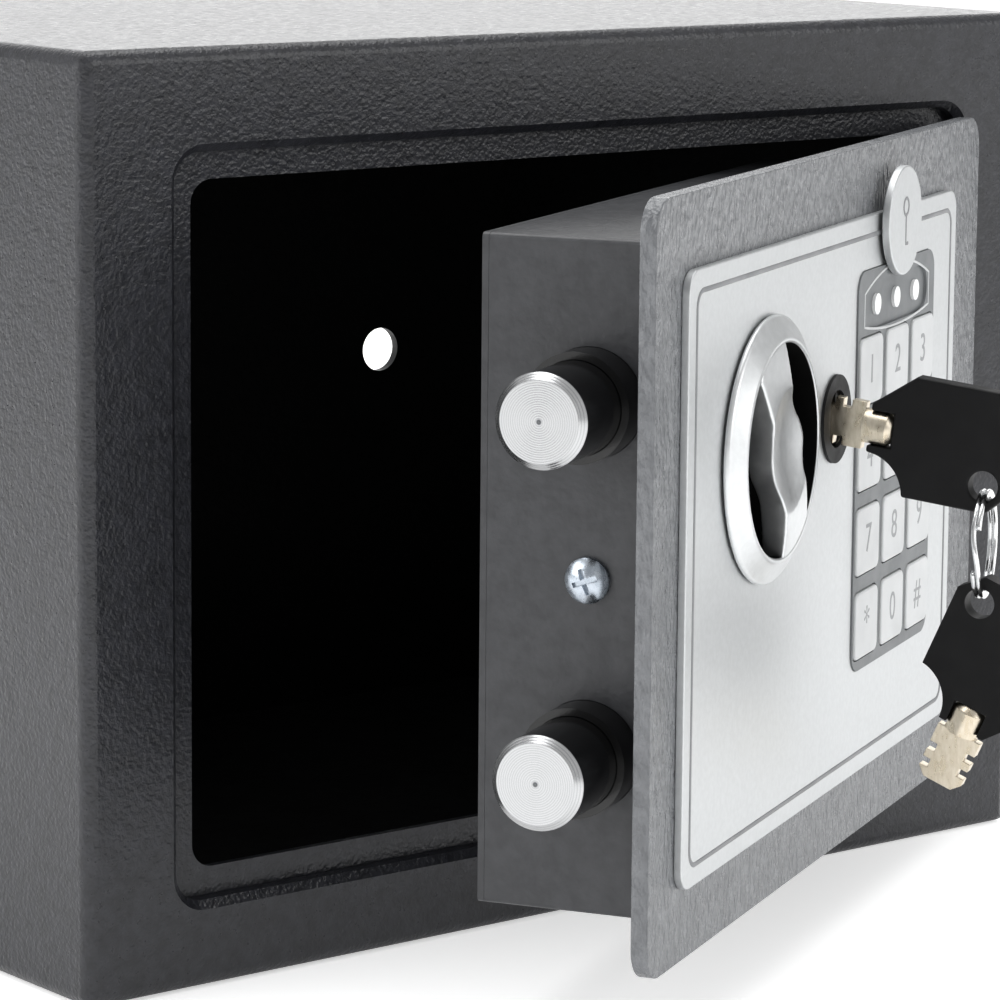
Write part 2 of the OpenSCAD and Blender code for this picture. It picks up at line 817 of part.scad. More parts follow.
module crank() {
    color("#b0b4b8") on_door() on_face(knob_x, control_z, -crank_depth)
        rotate(-crank_slope) {
            difference() {
                linear_extrude(crank_t) {
                    circle(r = crank_boss_r);
                    translate([-crank_w / 2, -crank_r]) square([crank_w, crank_r]);
                    translate([0, -crank_r]) circle(r = crank_w / 2);
                }
                translate([0, 0, -1]) cylinder(r = shaft_r, h = crank_t + 2);
            }
            translate([0, -crank_r, crank_depth - carriage_depth - carriage_t - 1])
                cylinder(r = crank_pin_r, h = carriage_depth + carriage_t + 1 - crank_depth);
        }
}

// ---- bolts ----
module bolt_carriage() {
    width = 2 * (crank_pin_r + slot_play);
    color("#a9adb2") on_door() difference() {
        union() {
            translate([flange_x, front_y + bolt_depth - bolt_r - carriage_lip,
                pan_z - bolt_spacing / 2 - carriage_edge])
                cube([flange_t, carriage_depth + carriage_t - bolt_depth + bolt_r + carriage_lip,
                    bolt_spacing + 2 * carriage_edge]);
            translate([flange_x, front_y + carriage_depth, carriage_low])
                cube([carriage_w + flange_t, carriage_t, carriage_high - carriage_low]);
        }
        for (side = [-1, 1])
            translate([flange_x - 1, front_y + bolt_depth, pan_z + side * bolt_spacing / 2])
                rotate([0, 90, 0]) cylinder(r = neck_r, h = flange_t + 2);
        on_face(pin_rest_x, 0, -carriage_depth - carriage_t - 1) linear_extrude(carriage_t + 2) {
            translate([-width / 2, pin_low_z]) square([width, pin_high_z - pin_low_z]);
            for (end_z = [pin_low_z, pin_high_z]) translate([0, end_z]) circle(r = width / 2);
        }
    }
}

module locking_bolt(side) {
    color("#c4c7ca") on_door()
        translate([bolt_tip_x, front_y + bolt_depth, pan_z + side * bolt_spacing / 2])
            rotate([0, 90, 0]) {
                cylinder(r1 = bolt_r - bolt_bevel, r2 = bolt_r, h = bolt_bevel);
                translate([0, 0, bolt_bevel])
                    cylinder(r = bolt_r, h = flange_x - bolt_tip_x - bolt_bevel);
                translate([0, 0, flange_x - bolt_tip_x]) cylinder(r = neck_r, h = flange_t);
                translate([0, 0, flange_x - bolt_tip_x + flange_t])
                    cylinder(r = neck_r + rivet_lap, h = rivet_head);
            }
}

module bolt_guide(side) {
    color("#18181a") on_door()
        translate([pan_left - guide_out, front_y + bolt_depth, pan_z + side * bolt_spacing / 2])
            rotate([0, 90, 0])
                ring(bolt_r + bolt_fit + guide_t, bolt_r + bolt_fit, guide_out + pan_t + guide_in);
}

// ---- electrics ----
module battery_tray() {
    color("#1d1d1f") on_door() on_face(tray_x, tray_z, -cover_back) difference() {
        slab(tray_w, tray_h, tray_depth, tray_r);
        translate([0, 0, -1]) slab(tray_w - 2 * tray_t, tray_h - 2 * tray_t,
            tray_depth - tray_t + 1, tray_hollow_r);
    }
}

module battery_cells() {
    color("#5b6066") on_door() for (place = [0 : cell_count - 1])
        translate([tray_x + (place - (cell_count - 1) / 2) * cell_pitch,
            front_y + cover_back - tray_depth + tray_t + cell_r + play,
            tray_z - cell_length / 2 - cell_tip]) {
            cylinder(r = cell_r, h = cell_length - cell_tip);
            translate([0, 0, cell_length - cell_tip]) cylinder(r = cell_r / 3, h = cell_tip);
        }
}

module battery_cover() {
    color("#1d1d1f") on_door() on_face(tray_x, tray_z, -pan_depth - lid_gap - lid_t)
        slab(tray_w, tray_h, lid_t, tray_r);
}

module solenoid_frame() {
    height = coil_h + 2 * bracket_t;
    color("#b8bcc0") on_door() on_face(plunger_x, solenoid_z, -cover_back) difference() {
        translate([-solenoid_w / 2, 0, 0]) cube([solenoid_w, height, solenoid_w]);
        translate([-solenoid_w, bracket_t, bracket_t])
            cube([2 * solenoid_w, coil_h, solenoid_w]);
        translate([0, -1, solenoid_w / 2]) rotate([-90, 0, 0])
            cylinder(r = plunger_r + plug_fit, h = height + 2);
    }
}

module solenoid_coil() {
    color("#a5542a") on_door()
        translate([plunger_x, front_y + plunger_n, solenoid_z + bracket_t])
            ring(solenoid_w / 2 - bracket_t, plunger_r + plug_fit, coil_h);
}

module solenoid_plunger() {
    color("#c4c7ca") on_door()
        translate([plunger_x, front_y + plunger_n, solenoid_z - plunger_out])
            cylinder(r = plunger_r, h = carriage_low - play - solenoid_z + plunger_out);
}

module reset_switch() {
    color("#2a2a2c") on_door() on_face(reset_x, reset_z, -cover_back) difference() {
        slab(switch_w, switch_w, switch_h, switch_r);
        translate([0, 0, -1])
            cylinder(r = reset_r + plug_fit, h = switch_h - switch_wall + 1);
    }
}

module reset_button() {
    color("#b3261e") on_door() on_face(reset_x, reset_z, -pan_depth - reset_travel - reset_gap)
        cylinder(r = reset_r, h = cover_t + switch_h - switch_wall);
}

body_shell();
rear_panel();
floor_mat();
hinge_bracket(1);  // hinge_bracket_upper
hinge_bracket(-1);  // hinge_bracket_lower
hinge_pins();
door_plate();
door_pan();
inner_cover();
cover_screws();
hinge_arm(1);  // hinge_arm_upper
hinge_arm(-1);  // hinge_arm_lower
control_panel();
keypad_bezel();
indicator_lights();
circuit_board();
lock_bezel();
lock_cylinder();
lock_nut();
knob_bush();
bolt_guide(1);  // bolt_guide_upper
bolt_guide(-1);  // bolt_guide_lower
pan_screw();
battery_tray();
battery_cells();
solenoid_frame();
solenoid_coil();
reset_switch();
knob_base();
knob_rim();
knob_grip();
knob_shaft();
crank();
bolt_carriage();
locking_bolt(1);  // locking_bolt_upper
locking_bolt(-1);  // locking_bolt_lower
lock_plug();
lock_cam();
key_blade();
key_handle();
key_ring();
spare_key_blade();
spare_key_handle();
keyhole_cap();
solenoid_plunger();
reset_button();
battery_cover();
for (index = [0 : 11])
    button(index);
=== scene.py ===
import json
import math
import bpy
import numpy as np
from mathutils import Matrix, Vector


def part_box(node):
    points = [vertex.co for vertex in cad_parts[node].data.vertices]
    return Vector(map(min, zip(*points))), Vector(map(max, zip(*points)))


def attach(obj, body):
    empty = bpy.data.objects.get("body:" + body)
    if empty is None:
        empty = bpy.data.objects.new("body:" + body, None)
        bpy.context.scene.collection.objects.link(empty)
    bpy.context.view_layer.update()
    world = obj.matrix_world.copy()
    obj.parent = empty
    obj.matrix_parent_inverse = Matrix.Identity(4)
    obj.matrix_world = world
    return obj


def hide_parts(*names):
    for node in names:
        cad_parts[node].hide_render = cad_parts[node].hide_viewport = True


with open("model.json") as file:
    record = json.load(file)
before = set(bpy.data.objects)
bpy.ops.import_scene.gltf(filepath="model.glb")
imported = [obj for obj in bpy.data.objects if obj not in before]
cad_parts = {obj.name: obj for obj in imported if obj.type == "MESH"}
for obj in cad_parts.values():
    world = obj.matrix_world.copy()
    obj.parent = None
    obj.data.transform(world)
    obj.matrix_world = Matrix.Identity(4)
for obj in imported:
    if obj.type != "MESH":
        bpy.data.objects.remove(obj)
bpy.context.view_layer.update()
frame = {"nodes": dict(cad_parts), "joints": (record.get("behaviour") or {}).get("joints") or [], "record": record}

# ---- Camera ----
# The view is from the front left, a little above the body's top. The long lens keeps
# the safe's upright edges nearly parallel, and the small shift frames the open door.
camera_data = bpy.data.cameras.new("camera")
camera_data.sensor_width = 36
camera_data.lens = 155.8
camera_data.shift_x = -0.0773
camera_data.shift_y = -0.0702
camera_data.clip_end = 20
camera = bpy.data.objects.new("camera", camera_data)
camera.location = (-0.5238, -0.7101, 0.2215)
camera_heading = math.radians(-39.766)
camera_pitch = math.radians(81.112)
camera_lean = math.radians(0.642)
camera.rotation_euler = (
    Matrix.Rotation(camera_heading, 4, "Z")
    @ Matrix.Rotation(camera_pitch, 4, "X")
    @ Matrix.Rotation(camera_lean, 4, "Z")
).to_euler()
bpy.context.scene.collection.objects.link(camera)
bpy.context.scene.camera = camera


# ---- Body ----
# A box folded from steel sheet and welded at its corners, with the doorway's step
# pressed into its front and two hinge brackets welded to its side. The powder coat is
# a semi-gloss anthracite. Inside, the walls are drawn near black and flat: painted shade in the cavity.
def colour(code):
    parts = [int(code[i:i + 2], 16) / 255 for i in (1, 3, 5)]
    linear = [p / 12.92 if p <= 0.04045 else ((p + 0.055) / 1.055) ** 2.4 for p in parts]
    return (*linear, 1)


def add_node(tree, kind, settings, links):
    node = tree.nodes.new("ShaderNode" + kind)
    for name, value in settings.items():
        if isinstance(name, int) or name in node.inputs:
            node.inputs[name].default_value = value
        else:
            setattr(node, name, value)
    for name, source in links.items():
        tree.links.new(source, node.inputs[name])
    return node


def bare_surface(name, code, roughness, metallic=0.0, shine=0.5):
    material = bpy.data.materials.new(name)
    material.use_nodes = True
    shader = material.node_tree.nodes["Principled BSDF"]
    shader.inputs["Base Color"].default_value = colour(code)
    shader.inputs["Roughness"].default_value = roughness
    shader.inputs["Metallic"].default_value = metallic
    shader.inputs["Specular IOR Level"].default_value = shine
    return material, material.node_tree, shader


# One pattern each drives the colour between two shades, the roughness between two
# values, and the bump, whose height is in metres.
def join_patterns(tree, shader, shades, polish, relief):
    shade_pattern, dark, light = shades
    polish_pattern, smooth, rough = polish
    relief_pattern, height = relief
    ramp = add_node(tree, "ValToRGB", {}, {"Fac": shade_pattern})
    ramp.color_ramp.elements[0].position = 0.35
    ramp.color_ramp.elements[1].position = 0.65
    ramp.color_ramp.elements[0].color = colour(dark)
    ramp.color_ramp.elements[1].color = colour(light)
    spread = add_node(
        tree, "MapRange",
        {"From Min": 0.3, "From Max": 0.7, "To Min": smooth, "To Max": rough},
        {"Value": polish_pattern})
    bump = add_node(tree, "Bump", {"Distance": height, "Strength": 1.0}, {"Height": relief_pattern})
    tree.links.new(ramp.outputs["Color"], shader.inputs["Base Color"])
    tree.links.new(spread.outputs["Result"], shader.inputs["Roughness"])
    tree.links.new(bump.outputs["Normal"], shader.inputs["Normal"])


# Polyester powder, baked on: it flows into small soft lumps that catch the light one
# by one. lump_mm is their width, and upright under 1 draws them out in height.
def powder_coat(name, dark, light, smooth, rough, lump_mm, height, upright=1.0):
    lumps_per_m = 1000 / lump_mm
    material, tree, shader = bare_surface(name, dark, smooth)
    place = add_node(tree, "TexCoord", {}, {}).outputs["Object"]
    drawn_out = add_node(tree, "Mapping", {"Scale": (1, 1, upright)}, {"Vector": place})
    lumps = add_node(
        tree, "TexNoise", {"Scale": lumps_per_m, "Detail": 2.0, "Roughness": 0.45},
        {"Vector": drawn_out.outputs["Vector"]})
    clouds = add_node(
        tree, "TexNoise", {"Scale": 0.35 * lumps_per_m, "Detail": 3.0}, {"Vector": place})
    sheen = add_node(
        tree, "TexNoise", {"Scale": 0.6 * lumps_per_m, "Detail": 2.0}, {"Vector": place})
    join_patterns(
        tree, shader, (clouds.outputs["Fac"], dark, light),
        (sheen.outputs["Fac"], smooth, rough), (lumps.outputs["Fac"], height))
    return material


def finish(node, material):
    mesh = frame["nodes"][node].data
    mesh.materials.clear()
    mesh.materials.append(material)


body_coat = powder_coat(
    "anthracite_powder_coat", "#1E1F23", "#292A2F", 0.27, 0.38, 0.7692, 0.0002)
# Near black and flat: painted shade for the inside of the cavity.
cavity_painted_shade = powder_coat(
    "cavity_painted_shade_coat", "#060607", "#0B0B0D", 0.5, 0.7, 1.6129, 0.0001)
for node in ("body_shell", "hinge_bracket_upper", "hinge_bracket_lower"):
    finish(node, body_coat)
shell = frame["nodes"]["body_shell"].data
shell.materials.append(cavity_painted_shade)
shell_low, shell_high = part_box("body_shell")
skin = 0.0015
doorway_back = shell_low.y + 0.0057

# Only the faces inside the walls and behind the doorway's step take the painted shade.
for face in shell.polygons:
    x, y, z = face.center
    if (shell_low.x + skin < x < shell_high.x - skin
            and shell_low.z + skin < z < shell_high.z - skin and y > doorway_back):
        face.material_index = 1

# ---- Rear panel ----
# A flat steel sheet welded into the back of the body, with two holes for wall plugs.
# It takes the cavity's near-black painted shade on both of its sides.
finish("rear_panel", cavity_painted_shade)


# ---- Floor mat ----
# Black needle felt, cut a little smaller than the cavity and laid loose in it. Its
# fibres scatter the light, so it shows no gloss at all.


# The same patterns serve felt, moulded plastics and inks: faint clouds, an uneven
# sheen, and a fine grain that is drawn coarser than it is, so that it shows.
def grained_finish(name, dark, light, smooth, rough, height=0.00002, shine=0.5):
    material, tree, shader = bare_surface(name, dark, smooth, shine=shine)
    place = add_node(tree, "TexCoord", {}, {}).outputs["Object"]
    cloud_mm, sheen_mm, grain_mm = 8.3333, 3.3333, 0.38462
    clouds, sheen, grain = [
        add_node(tree, "TexNoise", {"Scale": 1000 / width_mm, "Detail": detail}, {"Vector": place})
        for width_mm, detail in ((cloud_mm, 3.0), (sheen_mm, 3.0), (grain_mm, 2.0))]
    join_patterns(
        tree, shader, (clouds.outputs["Fac"], dark, light),
        (sheen.outputs["Fac"], smooth, rough), (grain.outputs["Fac"], height))
    return material


finish("floor_mat", grained_finish("black_felt", "#0B0B0C", "#1B1B1D", 0.9, 1.0, 0.0004))


# ---- Hinge ----
# Two steel pins, zinc plated to a pale blue, stand in the body's brackets. The door's
# two gooseneck arms are cut from plate, coated as the pan is, and turn on them.


# A metal has one pattern of faint spots for its shade, polish and bump. spot_mm is
# their size along the three axes, drawn coarser than the real blasting or plating.
def metal_finish(name, dark, light, smooth, rough, spot_mm, height):
    material, tree, shader = bare_surface(name, light, smooth, metallic=1.0)
    place = add_node(tree, "TexCoord", {}, {}).outputs["Object"]
    stretched = add_node(
        tree, "Mapping", {"Scale": [1000 / size for size in spot_mm]}, {"Vector": place})
    spots = add_node(
        tree, "TexNoise", {"Scale": 1.0, "Detail": 3.0, "Roughness": 0.6},
        {"Vector": stretched.outputs["Vector"]}).outputs["Fac"]
    join_patterns(
        tree, shader, (spots, dark, light), (spots, smooth, rough), (spots, height))
    return material


blue_zinc = metal_finish(
    "blue_zinc_plating", "#A9B2BC", "#C3CBD4", 0.2, 0.34, (1.6667, 1.6667, 1.6667), 0.000006)
pan_coat = powder_coat("pan_powder_coat", "#2E2F32", "#38393C", 0.34, 0.46, 1.1111, 0.00007)
finish("hinge_pins", blue_zinc)
finish("hinge_arm_upper", pan_coat)
finish("hinge_arm_lower", pan_coat)

# ---- Door plate ----
# The door's front is a 3 mm steel plate with its edges rounded by grinding. Its coat is
# thicker than the body's, and its wrinkles run upright like those of leather. Its light
# grey is a painted reflection: the coat is the body's dark anthracite, lit up by the
# bright backdrop it faces at a grazing angle.

# What rides on the door is measured with the door shut, where its faces are square to
# the axes, and is then swung open about the hinge as far as the frame holds it.
joints = {joint["name"]: joint for joint in frame["joints"]}
hinge = Vector(joints["door_swing"]["pos_m"])
ajar = math.radians(-joints["door_swing"]["range_deg"][0])
swing = Matrix.Translation(hinge) @ Matrix.Rotation(ajar, 4, "Z") @ Matrix.Translation(-hinge)
shut = swing.inverted()
bodies = frame["record"]["behaviour"]["bodies"]
body_of = {node: body for body, nodes in bodies.items() for node in nodes}


def shut_box(node):
    points = [shut @ vertex.co for vertex in frame["nodes"][node].data.vertices]
    low = Vector([min(point[i] for point in points) for i in range(3)])
    high = Vector([max(point[i] for point in points) for i in range(3)])
    return low, high


def select_only(piece):
    bpy.ops.object.select_all(action="DESELECT")
    piece.select_set(True)
    bpy.context.view_layer.objects.active = piece


def apply_modifiers(piece):
    select_only(piece)
    for modifier in list(piece.modifiers):
        bpy.ops.object.modifier_apply(modifier=modifier.name)


def dress(piece, body, material):
    piece.data.materials.clear()
    piece.data.materials.append(material)
    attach(piece, body)


# A rounded node keeps its shape and size: its loose triangles are merged and joined
# into whole faces first, so that the bevel runs along its real edges.
def round_edges(node, material, width, segments, sharp=35):
    piece = bpy.data.objects.new(node + "_rounded", frame["nodes"][node].data.copy())
    bpy.context.scene.collection.objects.link(piece)
    dress(piece, body_of[node], material)
    select_only(piece)
    bpy.ops.object.mode_set(mode="EDIT")
    bpy.ops.mesh.select_all(action="SELECT")
    bpy.ops.mesh.remove_doubles(threshold=0.000001)
    bpy.ops.mesh.dissolve_limited(angle_limit=math.radians(1), delimit=set())
    bpy.ops.object.mode_set(mode="OBJECT")
    bevel = piece.modifiers.new("edge", "BEVEL")
    bevel.width = width
    bevel.segments = segments
    bevel.limit_method = "ANGLE"
    bevel.angle_limit = math.radians(sharp)
    apply_modifiers(piece)
    piece.data.shade_smooth()
    normals = piece.modifiers.new("normals", "WEIGHTED_NORMAL")
    normals.keep_sharp = True
    apply_modifiers(piece)
    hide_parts(node)


# The pale grey here is painted reflection of the bright backdrop on the body's dark coat.
door_coat_painted_reflection = powder_coat(
    "door_coat_with_painted_reflection", "#66686B", "#737578", 0.22, 0.34, 1.1765, 0.0007, 0.5)
round_edges("door_plate", door_coat_painted_reflection, 0.0011, 4)

# ---- Door pan ----
# A tray folded from thinner sheet and welded behind the plate. It holds the bolt work
# and is closed from inside by a flat cover with four screws.
round_edges("door_pan", pan_coat, 0.0005, 3)
finish("inner_cover", pan_coat)
finish("cover_screws", blue_zinc)


# ---- Locking bolts ----
# Two round bolts turned from bright steel. The tool leaves fine rings and a centre
# mark on each tip. Behind its bevel the polished shaft is painted glossy black, as a
# painted reflection of the dark surroundings.


# Turned steel throws the light back in thin bright and dark rings about its axis. They
# are drawn a little coarser than a tool leaves them, so that they show.
def turned_steel(name, centre, axis):
    ring_pitch = 0.0003927
    mark_r, mark_edge_r = 0.0003, 0.0006
    material, tree, shader = bare_surface(name, "#C9CACB", 0.2, metallic=1.0)
    place = add_node(tree, "TexCoord", {}, {}).outputs["Object"]
    from_centre = add_node(
        tree, "VectorMath", {"operation": "SUBTRACT", 1: centre}, {0: place})
    off_axis = add_node(
        tree, "VectorMath", {"operation": "CROSS_PRODUCT", 1: axis},
        {0: from_centre.outputs["Vector"]})
    radius = add_node(
        tree, "VectorMath", {"operation": "LENGTH"}, {0: off_axis.outputs["Vector"]})
    turns = add_node(
        tree, "Math", {"operation": "MULTIPLY", 1: 2 * math.pi / ring_pitch},
        {0: radius.outputs["Value"]})
    rings = add_node(tree, "Math", {"operation": "SINE"}, {0: turns.outputs["Value"]})
    mark = add_node(
        tree, "MapRange", {"From Min": mark_r, "From Max": mark_edge_r},
        {"Value": radius.outputs["Value"]})
    shade = add_node(
        tree, "Math", {"operation": "MULTIPLY_ADD", 1: 0.12},
        {0: rings.outputs["Value"], 2: mark.outputs["Result"]})
    ramp = add_node(tree, "ValToRGB", {}, {"Fac": shade.outputs["Value"]})
    ramp.color_ramp.elements[0].color = colour("#5E6062")
    ramp.color_ramp.elements[1].position = 0.88
    ramp.color_ramp.elements[1].color = colour("#AEAFB1")
    ramp.color_ramp.elements.new(1.0).color = colour("#C2C3C4")
    cloud_mm = 8.3333
    clouds = add_node(
        tree, "TexNoise", {"Scale": 1000 / cloud_mm, "Detail": 2.0}, {"Vector": place})
    polish = add_node(
        tree, "MapRange", {"From Min": 0.3, "From Max": 0.7, "To Min": 0.22, "To Max": 0.27},
        {"Value": clouds.outputs["Fac"]})
    bump = add_node(
        tree, "Bump", {"Distance": 0.000004, "Strength": 1.0}, {"Height": rings.outputs["Value"]})
    tree.links.new(ramp.outputs["Color"], shader.inputs["Base Color"])
    tree.links.new(polish.outputs["Result"], shader.inputs["Roughness"])
    tree.links.new(bump.outputs["Normal"], shader.inputs["Normal"])
    return material


# Glossy near black: the bolt bushes' own nylon, and also the painted reflection of dark surroundings on the
# polished bolt shafts.
nylon_and_painted_reflection = grained_finish(
    "black_nylon_and_painted_reflection", "#060607", "#0B0B0C", 0.12, 0.22, 0.000006)
bolt_axis = swing.to_3x3() @ Vector((-1, 0, 0))
painted_reflection_from_tip = 0.0014

# The painted dark reflection covers the shaft's round side, from just behind the bevel on its tip.
for side in ("upper", "lower"):
    low, high = shut_box("locking_bolt_" + side)
    tip = swing @ Vector((low.x, (low.y + high.y) / 2, (low.z + high.z) / 2))
    finish("locking_bolt_" + side, turned_steel("turned_steel_" + side, tip, bolt_axis))
    mesh = frame["nodes"]["locking_bolt_" + side].data
    mesh.materials.append(nylon_and_painted_reflection)
    for face in mesh.polygons:
        behind_tip = (tip - face.center).dot(bolt_axis)
        if behind_tip > painted_reflection_from_tip and abs(face.normal.dot(bolt_axis)) < 0.5:
            face.material_index = 1

# ---- Bolt guides and side screw ----
# Each bolt slides in a flanged bush of glossy black nylon, pushed into the pan's
# side. Between the two sits a zinc plated screw with a domed cross head.
finish("bolt_guide_upper", nylon_and_painted_reflection)
finish("bolt_guide_lower", nylon_and_painted_reflection)
round_edges("pan_screw", blue_zinc, 0.00025, 2, 30)

# ---- Bolt carriage, crank and knob shaft ----
# Stamped and zinc plated steel. The bolts are riveted to the carriage, and the crank
# on the knob's shaft slides it to and fro by a pin in a slot.
for node in ("bolt_carriage", "crank", "knob_shaft"):
    finish(node, blue_zinc)

# ---- Battery compartment ----
# A tray of moulded black ABS holds four plain wrapped cells, and its lid slides down
# on the inner cover. The mould is etched, so the plastic is matt and nearly black.
black_plastic = grained_finish(
    "etched_black_abs", "#09090A", "#0F0F10", 0.5, 0.62, 0.00001, 0.22)
finish("battery_tray", black_plastic)
finish("battery_cells", grained_finish("plain_cell_wrap", "#3B4148", "#474D55", 0.25, 0.35))
round_edges("battery_cover", black_plastic, 0.0005, 2)

# ---- Solenoid ----
# A coil of enamelled copper wire in a bent steel frame. Its plunger blocks the bolt
# carriage until the right number is keyed in. The wire's turns are 0.22 mm apart.
finish("solenoid_frame", blue_zinc)
finish("solenoid_plunger", blue_zinc)
wound_copper = metal_finish(
    "wound_copper_wire", "#8F4A22", "#C0703A", 0.3, 0.4, (3.3333, 3.3333, 0.22222), 0.00005)
finish("solenoid_coil", wound_copper)

# ---- Circuit board and reset switch ----
# A glass-fibre board under green solder resist, held behind the keypad. The switch is
# a black housing with a red button, pressed from inside to set a new number.
finish("circuit_board", grained_finish("green_solder_resist", "#1E5A2C", "#266B36", 0.3, 0.4))
finish("reset_switch", black_plastic)
finish("reset_button", grained_finish("red_button_plastic", "#A51F18", "#B3261E", 0.25, 0.35))


# ---- Control panel ----
# A plate of blasted and clear anodised aluminium, glued to the door. It is pale and
# even, with almost no gloss, and a thin grey line is screen printed round its edge.
front_y = shut_box("door_plate")[0].y


# A place on the door's front: x and z with the door shut, and the rise over the plate.
def face_place(x, z, out):
    return swing @ Matrix.Translation((x, front_y - out, z)) @ Matrix.Rotation(math.pi / 2, 4, "X")


def rounded_outline(width, height, radius):
    points = []
    steps = 8
    for side_x, side_y, start in ((1, 1, 0), (-1, 1, 90), (-1, -1, 180), (1, -1, 270)):
        centre_x = side_x * (width / 2 - radius)
        centre_y = side_y * (height / 2 - radius)
        for step in range(steps + 1):
            turn = math.radians(start + 90 * step / steps)
            points.append((centre_x + radius * math.cos(turn), centre_y + radius * math.sin(turn)))
    return points


# A printed line is a thin bead of ink along its outline, pressed nearly flat.
def print_line(name, outline, width, place, body, ink, closed=True):
    pressed = 0.3
    curve = bpy.data.curves.new(name, "CURVE")
    curve.dimensions = "3D"
    curve.bevel_depth = width / 2
    curve.bevel_resolution = 2
    spline = curve.splines.new("POLY")
    spline.points.add(len(outline) - 1)
    for point, (x, y) in zip(spline.points, outline):
        point.co = (x, y, 0, 1)
    spline.use_cyclic_u = closed
    line = bpy.data.objects.new(name, curve)
    bpy.context.scene.collection.objects.link(line)
    select_only(line)
    bpy.ops.object.convert(target="MESH")
    line.data.transform(place @ Matrix.Diagonal((1, 1, pressed, 1)))
    dress(line, body, ink)


anodised_silver = metal_finish(
    "anodised_aluminium", "#C9CBCC", "#D0D2D3", 0.45, 0.52, (1.1111, 1.1111, 1.1111), 0.000003)
grey_ink = grained_finish("grey_screen_ink", "#7A7C7E", "#88898B", 0.5, 0.6)
panel_low, panel_high = shut_box("control_panel")
panel_w = panel_high.x - panel_low.x
panel_h = panel_high.z - panel_low.z
panel_out = front_y - panel_low.y
line_inset = 0.0037
line_corner_r = 0.003
line_w = 0.0009
round_edges("control_panel", anodised_silver, 0.0004, 3)
print_line(
    "panel_border_line",
    rounded_outline(panel_w - 2 * line_inset, panel_h - 2 * line_inset, line_corner_r), line_w,
    face_place((panel_low.x + panel_high.x) / 2, (panel_low.z + panel_high.z) / 2, panel_out),
    "door", grey_ink)

# ---- Knob ----
# A zinc die casting, blasted and chromed to a soft satin: a sloping rim, and an S-shaped
# grip that is hollowed for the thumb. The wells beside the grip are drawn near black
# and almost without gloss: painted shade in the hollows between grip and rim.
satin_chrome = metal_finish(
    "satin_chrome", "#D3D5D6", "#DADCDD", 0.36, 0.42, (1.6667, 1.6667, 1.6667), 0.000001)
# Near black and almost without gloss: painted shade for the knob's hollows.
knob_hollow_painted_shade = grained_finish(
    "knob_hollows_painted_shade", "#050505", "#080808", 0.6, 0.7, 0.00001, 0.06)
finish("knob_base", knob_hollow_painted_shade)
finish("knob_bush", black_plastic)
rim_low, rim_high = shut_box("knob_rim")
grip_low, grip_high = shut_box("knob_grip")
knob_r = (rim_high.x - rim_low.x) / 2
grip_r = (grip_high.z - grip_low.z) / 2
rim_top = front_y - rim_low.y
grip_top = front_y - grip_low.y
grip_floor = front_y - grip_high.y
knob_place = face_place((rim_low.x + rim_high.x) / 2, (rim_low.z + rim_high.z) / 2, 0)


# Ends an edit: double corners are merged, and every face is turned outwards.
def close_mesh():
    bpy.ops.mesh.select_all(action="SELECT")
    bpy.ops.mesh.remove_doubles(threshold=0.000001)
    bpy.ops.mesh.normals_make_consistent(inside=False)
    bpy.ops.object.mode_set(mode="OBJECT")


# The rim is a profile of (radius, height) points, spun round the knob's axis.
rim_foot = panel_out + 0.0003
edge_top = rim_top - 0.002
rim_profile = [
    (grip_r, grip_floor), (grip_r + 0.001, grip_floor), (grip_r + 0.001, rim_foot),
    (knob_r - 0.0003, rim_foot), (knob_r, rim_foot + 0.0003),
    (knob_r, edge_top - 0.0004), (knob_r - 0.0005, edge_top + 0.0001),
    (knob_r - 0.0022, edge_top + 0.0007), (grip_r + 0.0012, rim_top - 0.0002),
    (grip_r + 0.0004, rim_top), (grip_r, rim_top - 0.0003)]
bpy.ops.object.select_all(action="DESELECT")
bpy.ops.mesh.primitive_circle_add(vertices=len(rim_profile), fill_type="NOTHING")
rim = bpy.context.object
rim.name = "knob_rim_casting"
for vertex, (reach, rise) in zip(rim.data.vertices, rim_profile):
    vertex.co = (reach, 0, rise)
bpy.ops.object.mode_set(mode="EDIT")
bpy.ops.mesh.select_all(action="SELECT")
bpy.ops.mesh.spin(steps=128, angle=2 * math.pi, center=(0, 0, 0), axis=(0, 0, 1))
close_mesh()
dress(rim, "knob", satin_chrome)
rim.data.materials.append(knob_hollow_painted_shade)
# Faces on the rim's inner wall, down in the wells, take the painted shade.
for face in rim.data.polygons:
    x, y, rise = face.center
    if math.hypot(x, y) < grip_r + 0.0003 and rise < rim_top - 0.0007:
        face.material_index = 1
rim.data.transform(knob_place)
rim.data.shade_smooth()
rim.modifiers.new("normals", "WEIGHTED_NORMAL")
apply_modifiers(rim)
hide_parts("knob_rim")


# A smooth line through the given points, in short steps from each to the next.
def smooth_line(points):
    steps = 5
    line = []
    for i in range(len(points) - 1):
        before = points[max(i - 1, 0)]
        start, end = points[i], points[i + 1]
        after = points[min(i + 2, len(points) - 1)]
        for step in range(steps):
            t = step / steps
            line.append(0.5 * (
                2 * start + (end - before) * t
                + (2 * before - 5 * start + 4 * end - after) * t * t
                + (3 * start - before - 3 * end + after) * t * t * t))
    line.append(points[-1])
    return line


def cut_slab(name, outline, low, high):
    bpy.ops.object.select_all(action="DESELECT")
    bpy.ops.mesh.primitive_circle_add(vertices=len(outline), fill_type="NGON")
    slab = bpy.context.object
    slab.name = name
    for vertex, (x, y) in zip(slab.data.vertices, outline):
        vertex.co = (x, y, low)
    bpy.ops.object.mode_set(mode="EDIT")
    bpy.ops.mesh.select_all(action="SELECT")
    bpy.ops.mesh.extrude_region_move(TRANSFORM_OT_translate={"value": (0, 0, high - low)})
    close_mesh()
    return slab


